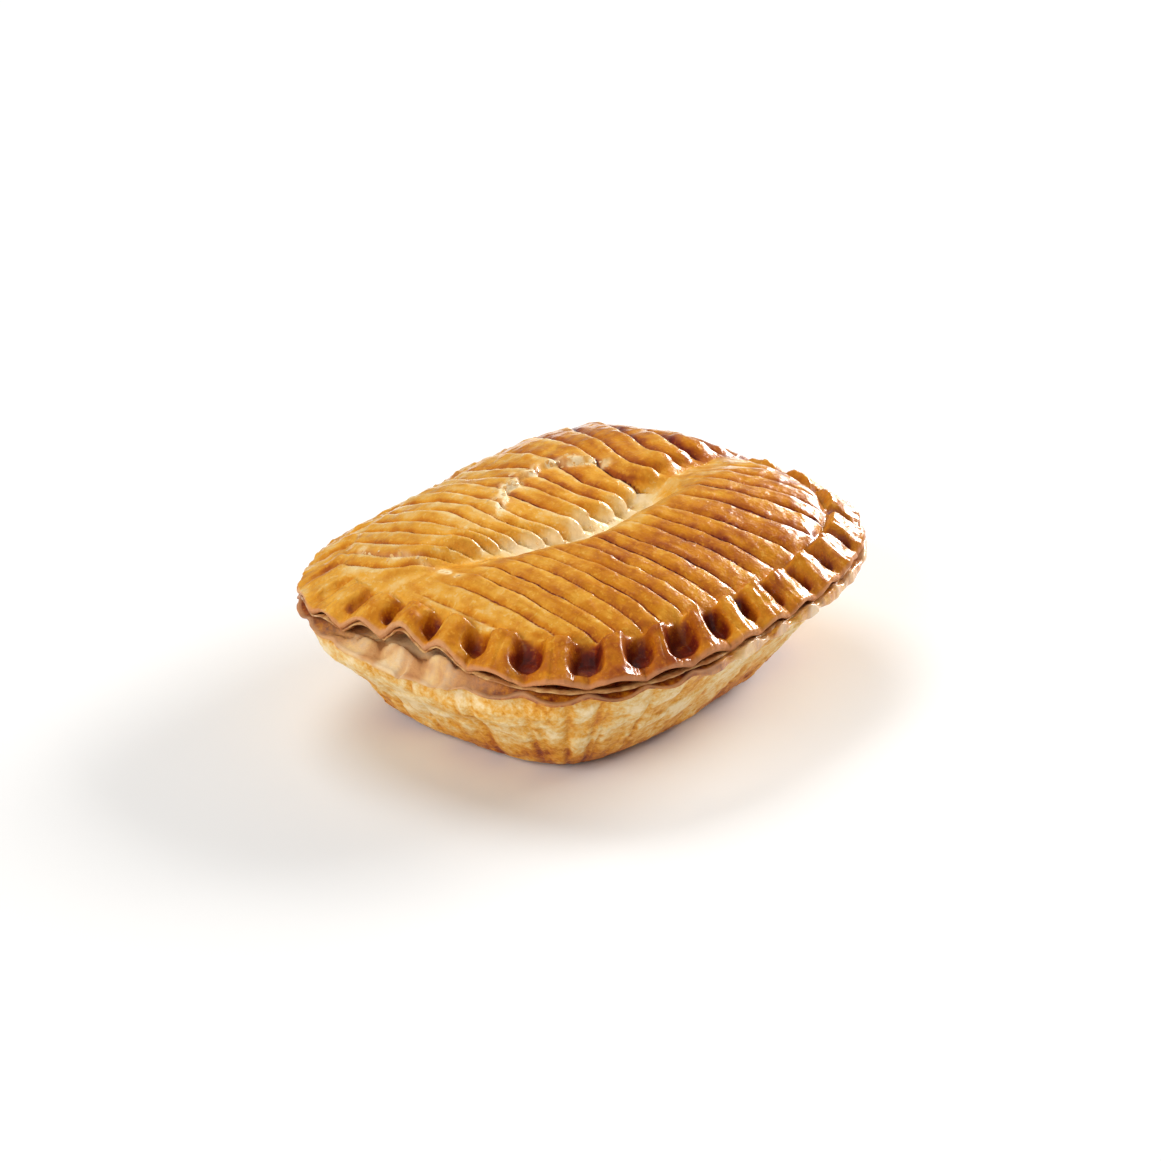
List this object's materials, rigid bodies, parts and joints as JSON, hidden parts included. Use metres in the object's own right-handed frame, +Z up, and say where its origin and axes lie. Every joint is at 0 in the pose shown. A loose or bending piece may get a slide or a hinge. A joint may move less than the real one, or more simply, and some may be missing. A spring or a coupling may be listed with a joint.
{
  "type": "meat pie",
  "caption": "Small oval baked meat pie with a slashed, glazed pastry lid crimped onto a tapered pastry case.",
  "frame": {"origin": "middle of the bounding box, on the plane of the flat base", "axes": "+X along the pie's length, +Y across it, +Z up"},
  "size_m": [0.1292, 0.106, 0.0452],
  "materials": {
    "glazed_pastry": "egg-glazed puff pastry, golden to amber, darker and glossier in the crimps, pale in the valley",
    "baked_pastry": "unglazed baked pastry, pale gold and flaky with brown edges"
  },
  "bodies": {
    "root": {"pastry_lid": "glazed_pastry", "pie_case": "baked_pastry"}
  },
  "joints": []
}
